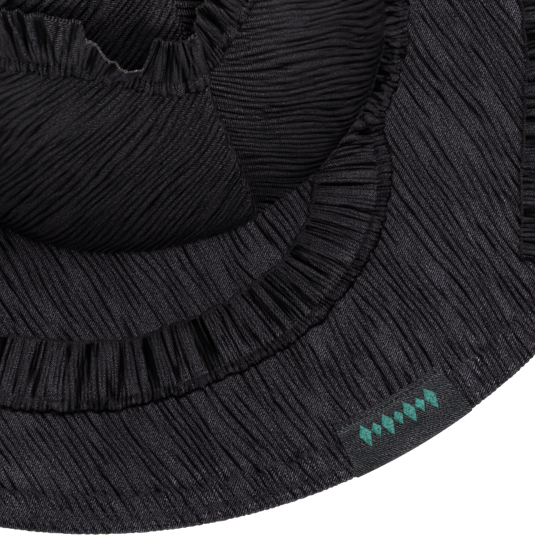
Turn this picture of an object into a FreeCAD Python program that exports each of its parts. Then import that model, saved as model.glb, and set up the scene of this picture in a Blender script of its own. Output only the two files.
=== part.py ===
"""Soft pointed costume hat with a wide wired brim and a gathered ruffle that winds up it.

Units are millimetres. The hat stands on its brim: +Z is up, the origin is under the centre of
the head opening, and -Y is the back, where the cone's seam and the folded edge label are.
An azimuth is measured from the back (-Y) towards the hat's right (+X), in degrees.
"winding" is the azimuth of the ruffle counted on over its turns, so it passes 360.
"""

import FreeCAD
import Part

import math
import os

os.makedirs("parts", exist_ok=True)

# ---------------------------------------------------------------- driving dimensions
BRIM_RADIUS = 212.5
CROWN_RADIUS = 95.0
OPENING_RADIUS = 89.0

HEM_TUBE_RADIUS = 2.4
HEM_CASING_RADIUS = 1.5
WIRE_RADIUS = 0.8
WIRE_GAP = 2.0
SLEEVE_LENGTH = 24.0
SLEEVE_RADIUS = 1.35

UNDERSIDE_THICKNESS = 0.8
BRIM_STIFFENER_THICKNESS = 2.0
BRIM_FABRIC_THICKNESS = 1.2

CONE_LENGTH = 360.0
TIP_RADIUS = 3.0
CONE_PUFF = 6.0
BEND_START = 178.0
BEND_ANGLE = 38.0
BEND_AZIMUTH = -35.0

SHELL_THICKNESS = 1.2
CONE_STIFFENER_THICKNESS = 1.5
LINING_THICKNESS = 0.5
SWEATBAND_THICKNESS = 0.8
SWEATBAND_HEIGHT = 22.0
UPPER_LAYERS_END = 300.0

FOLD_LENGTH = 44.0

RUFFLE_WIDTH = 30.0
HEADER_WIDTH = 7.0
RUFFLE_STAND = 9.0
RUFFLE_THICKNESS = 2.0
STRIP_CLEARANCE = 1.2
STRIP_LIFT = 3.0

LABEL_LENGTH = 50.0
LABEL_DEPTH = 22.0
LABEL_THICKNESS = 0.4
LABEL_WRAP_ANGLE = 50.0
MOTIF_THICKNESS = 0.35
MOTIF_PITCH = 4.7
MOTIF_COUNT = 7
MOTIF_TALL = (2.3, 5.3)
MOTIF_SHORT = (1.9, 3.2)

# ---------------------------------------------------------------- derived dimensions
HEM_RING_RADIUS = BRIM_RADIUS - HEM_TUBE_RADIUS
FOLD_START = BEND_START
FOLD_END = FOLD_START + FOLD_LENGTH
LAYERS_RADIUS = HEM_RING_RADIUS - HEM_TUBE_RADIUS - 0.3
STIFFENER_BASE = UNDERSIDE_THICKNESS
FABRIC_BASE = STIFFENER_BASE + BRIM_STIFFENER_THICKNESS
BRIM_TOP = FABRIC_BASE + BRIM_FABRIC_THICKNESS
WALL_THICKNESS = SHELL_THICKNESS + CONE_STIFFENER_THICKNESS + LINING_THICKNESS

Z_AXIS = FreeCAD.Vector(0, 0, 1)
ORIGIN = FreeCAD.Vector(0, 0, 0)


def outward(azimuth):
    """Horizontal unit vector at an azimuth from the back."""
    a = math.radians(azimuth)
    return FreeCAD.Vector(math.sin(a), -math.cos(a), 0)


def save(shape, name):
    shape.exportStep(os.path.join("parts", name + ".step"))
    print("%-26s solids %d  volume %9.1f  valid %s" % (name, len(shape.Solids), shape.Volume, shape.isValid()))


# ---------------------------------------------------------------- brim
def disc_layer(base, thickness):
    outer = Part.makeCylinder(LAYERS_RADIUS, thickness, FreeCAD.Vector(0, 0, base))
    return outer.cut(Part.makeCylinder(OPENING_RADIUS, thickness, FreeCAD.Vector(0, 0, base)))


def ring(tube_radius, start=0.0, sweep=360.0):
    """Solid ring of the hem's radius at the hem's height, from azimuth start."""
    centre = outward(start) * HEM_RING_RADIUS + FreeCAD.Vector(0, 0, HEM_TUBE_RADIUS)
    along = Z_AXIS.cross(outward(start))
    section = Part.Face(Part.Wire(Part.makeCircle(tube_radius, centre, along)))
    return section.revolve(ORIGIN, Z_AXIS, sweep)


def hem_degrees(length):
    return math.degrees(length / HEM_RING_RADIUS)


def hem_binding():
    return ring(HEM_TUBE_RADIUS).cut(ring(HEM_CASING_RADIUS))


def edge_wire():
    """Round wire with its two ends meeting at the front of the brim."""
    gap = hem_degrees(WIRE_GAP)
    return ring(WIRE_RADIUS, 180 + gap / 2, 360 - gap)


def wire_sleeve():
    sweep = hem_degrees(SLEEVE_LENGTH)
    start = 180 - sweep / 2
    return ring(SLEEVE_RADIUS, start, sweep).cut(ring(WIRE_RADIUS + 0.02, start, sweep))


# ---------------------------------------------------------------- label on the edge
def label_profile_side(gap):
    """Points of the label's section at a gap from the hem tube: flap start, flap end, top, middle, end."""
    reach = HEM_TUBE_RADIUS + gap
    flap_height = BRIM_TOP + gap - 0.05
    wrap_end = -math.radians(LABEL_WRAP_ANGLE)
    wrap_middle = (math.pi / 2 + wrap_end) / 2
    around = [
        FreeCAD.Vector(HEM_RING_RADIUS + reach * math.cos(a), 0, HEM_TUBE_RADIUS + reach * math.sin(a))
        for a in (math.pi / 2, wrap_middle, wrap_end)
    ]
    flap_start = FreeCAD.Vector(BRIM_RADIUS - LABEL_DEPTH, 0, flap_height)
    flap_end = FreeCAD.Vector(HEM_RING_RADIUS - HEM_TUBE_RADIUS - 2, 0, flap_height)
    return [flap_start, flap_end] + around


def label_flap_top():
    return BRIM_TOP + 0.15 + LABEL_THICKNESS - 0.05


def woven_label():
    """Band folded over the hem at the back, flat on the brim and wrapped round its edge."""
    near = label_profile_side(0.15)
    far = label_profile_side(0.15 + LABEL_THICKNESS)
    edges = [
        Part.makeLine(near[0], near[1]),
        Part.makeLine(near[1], near[2]),
        Part.Arc(near[2], near[3], near[4]).toShape(),
        Part.makeLine(near[4], far[4]),
        Part.Arc(far[4], far[3], far[2]).toShape(),
        Part.makeLine(far[2], far[1]),
        Part.makeLine(far[1], far[0]),
        Part.makeLine(far[0], near[0]),
    ]
    sweep = math.degrees(LABEL_LENGTH / BRIM_RADIUS)
    label = Part.Face(Part.Wire(edges)).revolve(ORIGIN, Z_AXIS, sweep)
    label.rotate(ORIGIN, Z_AXIS, -90 - sweep / 2)
    return label


def lozenge(along, depth, half_length, half_depth):
    """Flat diamond on the label: along is sideways from the label's middle, depth is in from the hem."""
    height = label_flap_top()
    middle = BRIM_RADIUS - depth
    turn = along / middle
    corners = [
        FreeCAD.Vector(half_length, 0, 0),
        FreeCAD.Vector(0, half_depth, 0),
        FreeCAD.Vector(-half_length, 0, 0),
        FreeCAD.Vector(0, -half_depth, 0),
    ]
    diamond = Part.Face(Part.makePolygon(corners + corners[:1])).extrude(FreeCAD.Vector(0, 0, MOTIF_THICKNESS))
    diamond.translate(FreeCAD.Vector(0, -middle, height))
    diamond.rotate(ORIGIN, Z_AXIS, math.degrees(turn))
    return diamond


def label_motif():
    """Row of stitched diamonds, tall and short in turn, each a separate piece of satin stitch."""
    middle_depth = LABEL_DEPTH / 2 + 1
    diamonds = []
    for i in range(MOTIF_COUNT):
        along = (i - (MOTIF_COUNT - 1) / 2) * MOTIF_PITCH
        half_length, half_depth = MOTIF_TALL if i % 2 == 0 else MOTIF_SHORT
        diamonds.append(lozenge(along, middle_depth, half_length, half_depth))
    return Part.makeCompound(diamonds)


# ---------------------------------------------------------------- cone
def cone_radius(s):
    """Outside radius at a length s along the cone's centreline: a taper with a soft fullness low down."""
    t = s / CONE_LENGTH
    return CROWN_RADIUS * (1 - t) + TIP_RADIUS * t + CONE_PUFF * 6.75 * t * (1 - t) ** 2


def bend_at(s):
    """Lean of the centreline in radians: upright at first, then turning evenly towards the tip."""
    return math.radians(BEND_ANGLE) * max(0.0, s - BEND_START) / (CONE_LENGTH - BEND_START)


def centreline(s):
    """Point on the centreline and its direction."""
    towards = outward(BEND_AZIMUTH)
    lean = bend_at(s)
    bend_radius = (CONE_LENGTH - BEND_START) / math.radians(BEND_ANGLE)
    upright = min(s, BEND_START)
    point = towards * (bend_radius * (1 - math.cos(lean)))
    point = point + Z_AXIS * (BRIM_TOP + upright + bend_radius * math.sin(lean))
    return point, Z_AXIS * math.cos(lean) + towards * math.sin(lean)


def radial_at(azimuth, s):
    """Unit vector straight out of the centreline at a length s, leaning with the cone."""
    towards = outward(BEND_AZIMUTH)
    sideways = Z_AXIS.cross(towards)
    lean = bend_at(s)
    leaning = towards * math.cos(lean) - Z_AXIS * math.sin(lean)
    flat = outward(azimuth)
    return leaning * flat.dot(towards) + sideways * flat.dot(sideways)


def section_circle(s, inset):
    point, direction = centreline(s)
    return Part.Wire(Part.makeCircle(cone_radius(s) - inset, point, direction))


def cone_body(start, end, inset):
    """Solid of the cone between two lengths, inset from its outside."""
    steps = max(3, int(math.ceil((end - start) / 20.0)))
    stations = [start + (end - start) * i / steps for i in range(steps + 1)]
    return Part.makeLoft([section_circle(s, inset) for s in stations], True, False)


def cone_layer(start, end, inset, thickness):
    """One layer of the cone's wall, with its cut ends on section planes."""
    return cone_body(start, end, inset).cut(cone_body(start, end, inset + thickness))


def sweatband():
    """Upright band sewn to the edge of the head opening, standing inside the foot of the cone."""
    outer = Part.makeCylinder(OPENING_RADIUS, SWEATBAND_HEIGHT)
    return outer.cut(Part.makeCylinder(OPENING_RADIUS - SWEATBAND_THICKNESS, SWEATBAND_HEIGHT))


def closed_tip_shell(start):
    """Shell layer from start up to the closed, rounded point."""
    outside = cone_body(start, CONE_LENGTH, 0)
    hollow_end = CONE_LENGTH - 18
    point, direction = centreline(CONE_LENGTH)
    cap = Part.makeSphere(TIP_RADIUS, point)
    shell = outside.fuse(cap).removeSplitter()
    return shell.cut(cone_body(start, hollow_end, SHELL_THICKNESS))


# ---------------------------------------------------------------- ruffle
BRIM_RUN_START = 26.0
BRIM_RUN_MIDDLE = 205.0
BRIM_RUN_END = 391.0
BRIM_PLATEAU_RADIUS = 171.0
START_FLARE = 31.0
START_FADE = 18.0
END_DIVE = 70.0
END_FADE = 32.0
DIVE_WINDING = 395.0

BASE_RUN_START = 393.0
BASE_RUN_END = 466.0

# Winding and length up the cone of the ruffle's lower edge. The back seam draws it down at 720.
CONE_RUN = [
    (472, 4),
    (560, 46),
    (620, 86),
    (657, 104),
    (680, 109),
    (695, 104),
    (705, 94),
    (720, 86),
    (731, 96),
    (744, 104),
    (800, 114),
    (900, 136),
    (1017, 162),
    (1200, 196),
    (1377, 228),
    (1560, 256),
    (1737, 281),
    (1920, 303),
    (2097, 322),
    (2280, 338),
]


def brim_run_radius(winding):
    """Radius of the ruffle's outer edge on the brim: it leaves the hem, runs round, then dives to the crown."""
    flare = START_FLARE * math.exp(-(winding - BRIM_RUN_START) / START_FADE)
    dive = END_DIVE * math.exp((winding - DIVE_WINDING) / END_FADE)
    return BRIM_PLATEAU_RADIUS + flare - dive


def cone_run_length(winding):
    """Length up the cone of the ruffle's lower edge, by smooth steps between the run's points."""
    points = CONE_RUN
    slopes = [(b[1] - a[1]) / (b[0] - a[0]) for a, b in zip(points, points[1:])]
    tangents = [slopes[0]]
    for before, after in zip(slopes, slopes[1:]):
        mean = 0.0 if before * after <= 0 else 2 * before * after / (before + after)
        tangents.append(mean)
    tangents.append(slopes[-1])
    for i, (a, b) in enumerate(zip(points, points[1:])):
        if winding <= b[0]:
            break
    width = b[0] - a[0]
    u = (winding - a[0]) / width
    rise = a[1] * (1 + 2 * u) * (1 - u) ** 2 + b[1] * u * u * (3 - 2 * u)
    return rise + width * (tangents[i] * u * (1 - u) ** 2 - tangents[i + 1] * u * u * (1 - u))


def ruffle_scale(s):
    """Share of the full strip width: narrower towards the tip."""
    return 1.0 - 0.55 * max(0.0, s - 100) / 260.0


def windings(start, end, step=7.5):
    count = max(3, int(math.ceil((end - start) / step)))
    return [start + (end - start) * i / count for i in range(count + 1)]


def strip_solid(sections):
    """Solid band through four-cornered sections."""
    wires = [Part.makePolygon(corners + corners[:1]) for corners in sections]
    return Part.makeLoft(wires, True, False)


def brim_strip_section(winding):
    """Section of the ruffle lying on the brim, across its run, low at the outer edge and raised at the free edge."""
    here = outward(winding) * brim_run_radius(winding)
    ahead = outward(winding + 0.5) * brim_run_radius(winding + 0.5)
    across = Z_AXIS.cross(ahead - here)
    across.normalize()
    room = (brim_run_radius(winding) - CROWN_RADIUS - 1.0) / max(0.2, -across.dot(outward(winding)))
    width = min(RUFFLE_WIDTH, room)
    inner = here + across * width
    floor = BRIM_TOP + 0.05
    stand = RUFFLE_THICKNESS + (RUFFLE_STAND - RUFFLE_THICKNESS) * width / RUFFLE_WIDTH
    return [
        here + Z_AXIS * floor,
        inner + Z_AXIS * floor,
        inner + Z_AXIS * (floor + stand),
        here + Z_AXIS * (floor + RUFFLE_THICKNESS),
    ]


def base_strip_section(winding):
    """Section of the gathered header that shows round the foot of the cone."""
    share = (winding - BASE_RUN_START) / (BASE_RUN_END - BASE_RUN_START)
    width = HEADER_WIDTH * (1.0 - 0.7 * max(0.0, share - 0.6) / 0.4)
    near = outward(winding) * (CROWN_RADIUS + 1.0)
    far = outward(winding) * (CROWN_RADIUS + 1.0 + width)
    floor = BRIM_TOP + 0.05
    return [
        far + Z_AXIS * floor,
        near + Z_AXIS * floor,
        near + Z_AXIS * (floor + RUFFLE_THICKNESS),
        far + Z_AXIS * (floor + 0.6 * RUFFLE_THICKNESS),
    ]


def cone_strip_section(winding):
    """Section of the ruffle on the cone: stitched close to it at the lower edge, standing off at the free edge."""
    s = cone_run_length(winding)
    scale = ruffle_scale(s)
    width = min(RUFFLE_WIDTH * scale, CONE_LENGTH - 2 - s)
    foot, direction = centreline(s)
    head = foot + direction * width
    out = radial_at(winding, s)
    near = STRIP_CLEARANCE + STRIP_LIFT * scale
    return [
        foot + out * (cone_radius(s) + STRIP_CLEARANCE),
        head + out * (cone_radius(s + width) + near),
        head + out * (cone_radius(s + width) + near + RUFFLE_STAND * scale),
        foot + out * (cone_radius(s) + STRIP_CLEARANCE + RUFFLE_THICKNESS),
    ]


def strip(section, start, end):
    return strip_solid([section(w) for w in windings(start, end)])


# Where each sewn length of cone ruffle begins and ends. The third is the one over the fold.
CONE_STRIPS = [
    ("cone_ruffle_first", 472, 655),
    ("cone_ruffle_second", 655, 830),
    ("cone_ruffle_third", 830, 970),
    ("cone_ruffle_at_fold", 970, 1410),
    ("cone_ruffle_upper", 1410, 1720),
    ("cone_ruffle_tip", 1720, 2200),
]


def build_brim():
    save(disc_layer(0, UNDERSIDE_THICKNESS), "brim_underside")
    save(disc_layer(STIFFENER_BASE, BRIM_STIFFENER_THICKNESS), "brim_stiffener")
    save(disc_layer(FABRIC_BASE, BRIM_FABRIC_THICKNESS), "brim_top_fabric")
    save(hem_binding(), "brim_hem_binding")
    save(edge_wire(), "brim_edge_wire")
    save(wire_sleeve(), "wire_joining_sleeve")
    save(woven_label(), "edge_label")
    save(label_motif(), "label_embroidery")


def build_cone():
    stiffener_inset = SHELL_THICKNESS
    lining_inset = stiffener_inset + CONE_STIFFENER_THICKNESS
    save(cone_layer(0, FOLD_START, 0, SHELL_THICKNESS), "cone_lower_shell")
    save(cone_layer(0, FOLD_START, stiffener_inset, CONE_STIFFENER_THICKNESS), "cone_lower_stiffener")
    save(cone_layer(0, FOLD_START, lining_inset, LINING_THICKNESS), "cone_lower_lining")
    save(sweatband(), "sweatband")
    save(cone_layer(FOLD_START, FOLD_END, 0, WALL_THICKNESS), "cone_fold_sleeve")
    save(closed_tip_shell(FOLD_END), "cone_upper_shell")
    save(cone_layer(FOLD_END, UPPER_LAYERS_END, stiffener_inset, CONE_STIFFENER_THICKNESS), "cone_upper_stiffener")
    save(cone_layer(FOLD_END, UPPER_LAYERS_END, lining_inset, LINING_THICKNESS), "cone_upper_lining")


def build_ruffle():
    save(strip(brim_strip_section, BRIM_RUN_START, BRIM_RUN_MIDDLE), "brim_ruffle_outer")
    save(strip(brim_strip_section, BRIM_RUN_MIDDLE, BRIM_RUN_END), "brim_ruffle_inner")
    save(strip(base_strip_section, BASE_RUN_START, BASE_RUN_END), "crown_base_header")
    for name, start, end in CONE_STRIPS:
        save(strip(cone_strip_section, start, end), name)


build_brim()
build_cone()
build_ruffle()
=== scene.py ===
"""Looks of the pointed costume hat: crinkled cloth, gathered ruffle, label, lining and studio.

Sizes are in millimetres until a mesh is made. An azimuth is measured from the back (-Y) towards
+X, in degrees. "winding" is the azimuth of the ruffle counted on over its turns. Crinkled cloth is
laid out flat first: "across" and "along" are millimetres across and along its pleats.
"""

import math

import bpy
import numpy as np
from mathutils import Matrix, Vector


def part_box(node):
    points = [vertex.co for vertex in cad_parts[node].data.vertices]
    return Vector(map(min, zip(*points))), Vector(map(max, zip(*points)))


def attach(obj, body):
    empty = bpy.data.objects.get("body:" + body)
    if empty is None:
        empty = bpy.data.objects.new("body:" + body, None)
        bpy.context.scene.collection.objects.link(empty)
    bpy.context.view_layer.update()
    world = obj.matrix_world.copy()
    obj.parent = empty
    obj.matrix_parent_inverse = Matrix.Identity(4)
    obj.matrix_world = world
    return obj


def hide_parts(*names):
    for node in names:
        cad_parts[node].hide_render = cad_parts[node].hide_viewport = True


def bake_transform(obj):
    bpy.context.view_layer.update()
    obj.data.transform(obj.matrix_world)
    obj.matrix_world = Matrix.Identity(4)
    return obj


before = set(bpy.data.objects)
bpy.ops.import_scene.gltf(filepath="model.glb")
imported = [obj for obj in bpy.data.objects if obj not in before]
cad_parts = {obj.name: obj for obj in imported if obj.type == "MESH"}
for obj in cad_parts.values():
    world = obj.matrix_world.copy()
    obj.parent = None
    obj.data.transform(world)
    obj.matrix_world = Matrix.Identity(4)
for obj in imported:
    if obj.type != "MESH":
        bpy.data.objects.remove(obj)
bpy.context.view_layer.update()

MM = 0.001

# ---- sizes shared with the CAD
BRIM_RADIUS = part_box("brim_hem_binding")[1][0] / MM
BRIM_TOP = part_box("brim_top_fabric")[1][2] / MM
HEM_TUBE_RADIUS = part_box("brim_hem_binding")[1][2] / MM / 2
HEM_RING_RADIUS = BRIM_RADIUS - HEM_TUBE_RADIUS
OPENING_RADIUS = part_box("sweatband")[1][0] / MM
SWEATBAND_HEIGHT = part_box("sweatband")[1][2] / MM
SWEATBAND_THICKNESS = 0.8
CROWN_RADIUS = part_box("cone_lower_shell")[1][0] / MM

CONE_LENGTH = 360.0
TIP_RADIUS = 3.0
CONE_PUFF = 6.0
BEND_START = 178.0
BEND_ANGLE = math.radians(38.0)
BEND_AZIMUTH = -35.0
WALL_THICKNESS = 3.2

RUFFLE_WIDTH = 30.0
HEADER_WIDTH = 6.5

LABEL_LENGTH = 50.0
LABEL_DEPTH = 22.0

# ---- smooth random fields


class Field:
    """Smooth random field of two coordinates, about -1 to 1, with features about one unit wide."""

    SIZE = 256
    # The spline averages the table's values, so they are scaled back up to about -1 to 1.
    GAIN = 2.2

    def __init__(self, seed):
        self.table = np.random.default_rng(seed).uniform(-1, 1, (self.SIZE, self.SIZE))

    def __call__(self, x, y):
        x, y = np.broadcast_arrays(np.asarray(x, float), np.asarray(y, float))
        cell_x, cell_y = np.floor(x).astype(int), np.floor(y).astype(int)
        weights_x, weights_y = self.weights(x - cell_x), self.weights(y - cell_y)
        total = np.zeros(x.shape)
        for i in range(4):
            row = (cell_x + i) % self.SIZE
            for j in range(4):
                total += weights_x[i] * weights_y[j] * self.table[row, (cell_y + j) % self.SIZE]
        return total * self.GAIN

    @staticmethod
    def weights(t):
        """Cubic B-spline weights of the four lattice points round a position."""
        second = (3 * t**3 - 6 * t**2 + 4) / 6
        third = (-3 * t**3 + 3 * t**2 + 3 * t + 1) / 6
        return (1 - t) ** 3 / 6, second, third, t**3 / 6


def smooth_step(low, high, value):
    """0 at low, 1 at high and smooth between them, whichever is the larger."""
    t = np.clip((value - low) / (high - low), 0, 1)
    return t * t * (3 - 2 * t)


def bell(value, centre, half_width):
    """Smooth bump of height 1 that ends half_width either side of its centre."""
    t = np.clip(np.abs(value - centre) / half_width, 0, 1)
    return (1 - t * t) ** 2


WANDER, PLEAT_PHASE, SMALL_PHASE, CREASE_REACH, SMALL_REACH, PUFF = (Field(seed) for seed in range(11, 17))

PLEAT_PITCH = 2.85
CREASE_HALF_WIDTH = 0.37
# Fine creases between the pleats.
SMALL_PITCH = 1.55
SMALL_HALF_WIDTH = 0.34
# Power of a crease's profile: higher is flatter at the bottom, with steeper sides.
CREASE_POWER = 1.4


def crinkle(across, along, pitch=PLEAT_PITCH, creased=1.08):
    """Height, 0 to 1, of plisse cloth: broad ridges parted by sharp creases that wander, merge and run out.

    creased is how much of each crease's length is pressed in. pitch is the distance between its creases.
    """
    scale = PLEAT_PITCH / pitch
    across = across * scale
    along = along * scale
    shifted = across + 1.5 * WANDER(across / 16, along / 34) + 0.45 * WANDER(across / 5 + 90, along / 11)
    phase = shifted / PLEAT_PITCH + 0.75 * PLEAT_PHASE(shifted / 9, along / 26)
    crease = np.round(phase)
    apart = np.abs(phase - crease) * PLEAT_PITCH
    reach = np.clip(creased + 0.90 * CREASE_REACH(crease * 3.71, along / 10), 0, 1)
    deep = reach * np.exp(-((apart / CREASE_HALF_WIDTH) ** CREASE_POWER))
    small_phase = shifted / SMALL_PITCH + 0.9 * SMALL_PHASE(shifted / 4, along / 13)
    small_crease = np.round(small_phase)
    small_apart = np.abs(small_phase - small_crease) * SMALL_PITCH
    small_reach = np.clip(0.35 + 1.1 * SMALL_REACH(small_crease * 2.37, along / 6), 0, 1)
    fine = small_reach * np.exp(-((small_apart / SMALL_HALF_WIDTH) ** CREASE_POWER))
    rounding = 0.30 * reach * np.cos(np.pi * phase) ** 2
    return np.clip(1 - 0.70 * deep - rounding * (1 - deep) - 0.60 * fine * (1 - deep), 0, 1)


# ---- meshes


def mesh_piece(name, points, faces, uv, materials, material_index=None, ridge=None):
    """Object from points, and their uv, in millimetres. materials is one material, or several.

    ridge is a number for each point, from 0 in a crease to 1 on a crest. The cloth materials darken their
    colour by it, as painted shade in the creases, and some pieces fold more painted shade or a painted
    highlight into it.
    """
    mesh = bpy.data.meshes.new(name)
    mesh.from_pydata((points.reshape(-1, 3) * MM).tolist(), [], faces)
    mesh.shade_smooth()
    loops = np.zeros(len(mesh.loops), np.int32)
    mesh.loops.foreach_get("vertex_index", loops)
    layer = mesh.uv_layers.new(name="cloth")
    layer.data.foreach_set("uv", uv.reshape(-1, 2).astype(np.float32)[loops].ravel())
    for material in materials if isinstance(materials, (list, tuple)) else [materials]:
        mesh.materials.append(material)
    if material_index is not None:
        mesh.polygons.foreach_set("material_index", np.asarray(material_index, np.int32))
    if ridge is not None:
        attribute = mesh.attributes.new("ridge", "FLOAT", "POINT")
        attribute.data.foreach_set("value", ridge.astype(np.float32).ravel())
    piece = bpy.data.objects.new(name, mesh)
    bpy.context.collection.objects.link(piece)
    return piece


def grid_faces(columns, rows, closed=False):
    """Quads of a grid whose points are numbered row by row within each column."""
    ends = columns if closed else columns - 1
    i, j = np.meshgrid(np.arange(ends), np.arange(rows - 1), indexing="ij")
    a = i * rows + j
    b = (i + 1) % columns * rows + j
    return np.stack([a, b, b + 1, a + 1], axis=-1).reshape(-1, 4).tolist()


def pleat_grid(spans, columns, step):
    """Flat grid of columns along the pleats, its ends laid exactly on the cloth's outline.

    columns are their across coordinates, and spans gives the stretches of one column that are cloth.
    Returns the across and along coordinates of the points and the faces between them.
    """
    across, along, faces, before = [], [], [], {}
    for position in columns:
        here = {}
        for low, high in spans(position):
            lowest, highest = math.ceil(low / step - 0.5), math.floor(high / step + 0.5)
            for k in range(lowest, highest + 1):
                here[k] = len(across)
                across.append(position)
                if k == lowest:
                    along.append(low)
                elif k == highest:
                    along.append(high)
                else:
                    along.append(min(max(k * step, low), high))
        for k in here:
            ring = [before.get(k), here.get(k), here.get(k + 1), before.get(k + 1)]
            corners = [c for c in ring if c is not None]
            if len(corners) >= 3:
                faces.append(corners)
        for k in before:
            if k not in here and before.get(k + 1) is not None and here.get(k + 1) is not None:
                faces.append([before[k], here[k + 1], before[k + 1]])
        before = here
    return np.array(across), np.array(along), faces


# ---- materials


def node_material(name, roughness, specular=0.3, metallic=0.0):
    """New material, with its node tree and its shader."""
    material = bpy.data.materials.new(name)
    material.use_nodes = True
    tree = material.node_tree
    shader = tree.nodes["Principled BSDF"]
    shader.inputs["Roughness"].default_value = roughness
    shader.inputs["Metallic"].default_value = metallic
    shader.inputs["Specular IOR Level"].default_value = specular
    return material, tree, shader


def add_node(tree, kind, **values):
    node = tree.nodes.new(kind)
    for key, value in values.items():
        if hasattr(node, key) and key not in node.inputs:
            setattr(node, key, value)
        else:
            node.inputs[key].default_value = value
    return node


def cloth_coordinates(tree, scale, turn=0.0):
    """Cloth's own millimetres, turned and scaled for a texture."""
    source = tree.nodes.new("ShaderNodeUVMap")
    source.uv_map = "cloth"
    mapping = tree.nodes.new("ShaderNodeMapping")
    mapping.inputs["Scale"].default_value = (scale, scale, scale)
    mapping.inputs["Rotation"].default_value = (0, 0, math.radians(turn))
    tree.links.new(source.outputs["UV"], mapping.inputs["Vector"])
    return mapping.outputs["Vector"]


def noise(tree, vector, scale, detail=2.0, roughness=0.6):
    node = add_node(tree, "ShaderNodeTexNoise", Scale=scale, Detail=detail, Roughness=roughness)
    tree.links.new(vector, node.inputs["Vector"])
    return node.outputs["Fac"]


def ramp(tree, factor, low, high, dark, light):
    """Colour that goes from dark, at the factor low, to light, at the factor high."""
    node = tree.nodes.new("ShaderNodeValToRGB")
    node.color_ramp.elements[0].position = low
    node.color_ramp.elements[0].color = (*dark, 1)
    node.color_ramp.elements[1].position = high
    node.color_ramp.elements[1].color = (*light, 1)
    tree.links.new(factor, node.inputs["Fac"])
    return node.outputs["Color"]


def multiply(tree, first, second):
    """Product of two colours."""
    node = tree.nodes.new("ShaderNodeVectorMath")
    node.operation = "MULTIPLY"
    tree.links.new(first, node.inputs[0])
    tree.links.new(second, node.inputs[1])
    return node.outputs["Vector"]


def weigh(tree, first, share, second):
    """First number times a share, plus the second number."""
    node = add_node(tree, "ShaderNodeMath", operation="MULTIPLY_ADD")
    tree.links.new(first, node.inputs[0])
    node.inputs[1].default_value = share
    if isinstance(second, float):
        node.inputs[2].default_value = second
    else:
        tree.links.new(second, node.inputs[2])
    return node.outputs[0]


def speckle(tree, factor, low, high, dark, light):
    """Colour of single threads: mostly dark, a few lighter, and a rare one far brighter, a painted glint.
    """
    node = tree.nodes.new("ShaderNodeValToRGB")
    middle = [0.30 * a + 0.70 * b for a, b in zip(light, dark)]
    # The last, brightest stop is a painted glint.
    painted_glint = [2.4 * a for a in light]
    stops = node.color_ramp.elements
    stops.new(0.4)
    stops.new(0.6)
    places = (low, 0.6 * low + 0.4 * high, high, high + 0.10)
    for stop, position, colour in zip(stops, places, (dark, middle, light, painted_glint)):
        stop.position = position
        stop.color = (*colour, 1)
    tree.links.new(factor, node.inputs["Fac"])
    return node.outputs["Color"]


def crease_shade(tree, depth):
    """Painted shade: grey that is white on the cloth's ridges and darkens to depth in its creases."""
    ridge = tree.nodes.new("ShaderNodeAttribute")
    ridge.attribute_name = "ridge"
    return ramp(tree, ridge.outputs["Fac"], 0.35, 0.80, grey(depth), grey(1))


# About the distance between the bands of a wave texture of scale 1.
WAVE_TEXTURE_PITCH = 0.31831


def add_bump(tree, shader, height, strength, distance):
    bumped = tree.nodes.new("ShaderNodeBump")
    bumped.inputs["Strength"].default_value = strength
    bumped.inputs["Distance"].default_value = distance
    tree.links.new(height, bumped.inputs["Height"])
    tree.links.new(bumped.outputs["Normal"], shader.inputs["Normal"])


def grey(value):
    return (value, value, value)


def cloth_material(name, dark, light, twill_pitch=0.8, twill_turn=52, bump=0.5, roughness=0.34, shine=0.8,
                   crease=1.0):
    """Matt woven cloth: speckled threads along fine twill lines, and slow changes of shade and tint.

    Only the lightest threads shine, as if laminated, and less inside a crease. crease is the share of the
    cloth's colour that is left at the bottom of one, as painted shade. Lengths are in the cloth's own
    millimetres.
    """
    material, tree, shader = node_material(name, roughness, specular=0.02)
    threads_mm = cloth_coordinates(tree, 1.0)
    twill = add_node(tree, "ShaderNodeTexWave", wave_type="BANDS", bands_direction="X", Scale=1.0)
    twill.inputs["Distortion"].default_value = 1.2
    twill.inputs["Detail"].default_value = 1.0
    twill_place = cloth_coordinates(tree, WAVE_TEXTURE_PITCH / twill_pitch, twill_turn)
    tree.links.new(twill_place, twill.inputs["Vector"])
    threads = noise(tree, threads_mm, 1.50, 1.5, 0.7)
    woven = weigh(tree, threads, 0.78, weigh(tree, twill.outputs["Fac"], 0.22, 0.0))
    colour = speckle(tree, woven, 0.42, 0.63, dark, light)
    glints = ramp(tree, woven, 0.47, 0.66, grey(0), grey(shine))
    patches = noise(tree, threads_mm, 0.045, 3.0, 0.6)
    glints = multiply(tree, glints, ramp(tree, patches, 0.38, 0.68, grey(0.25), grey(1.6)))
    colour = multiply(tree, colour, ramp(tree, patches, 0.3, 0.7, grey(0.86), grey(1.12)))
    tint = noise(tree, threads_mm, 0.55, 2.0, 0.6)
    colour = multiply(tree, colour, ramp(tree, tint, 0.38, 0.62, (0.94, 1.03, 1.0), (1.09, 0.96, 1.04)))
    # Painted shade: colour and glints darken in the creases by the points' ridge.
    if crease < 1:
        shade = crease_shade(tree, crease)
        colour = multiply(tree, colour, shade)
        glints = multiply(tree, glints, shade)
    tree.links.new(colour, shader.inputs["Base Color"])
    tree.links.new(glints, shader.inputs["Metallic"])
    add_bump(tree, shader, woven, bump, 0.3 * MM)
    return material


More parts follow.
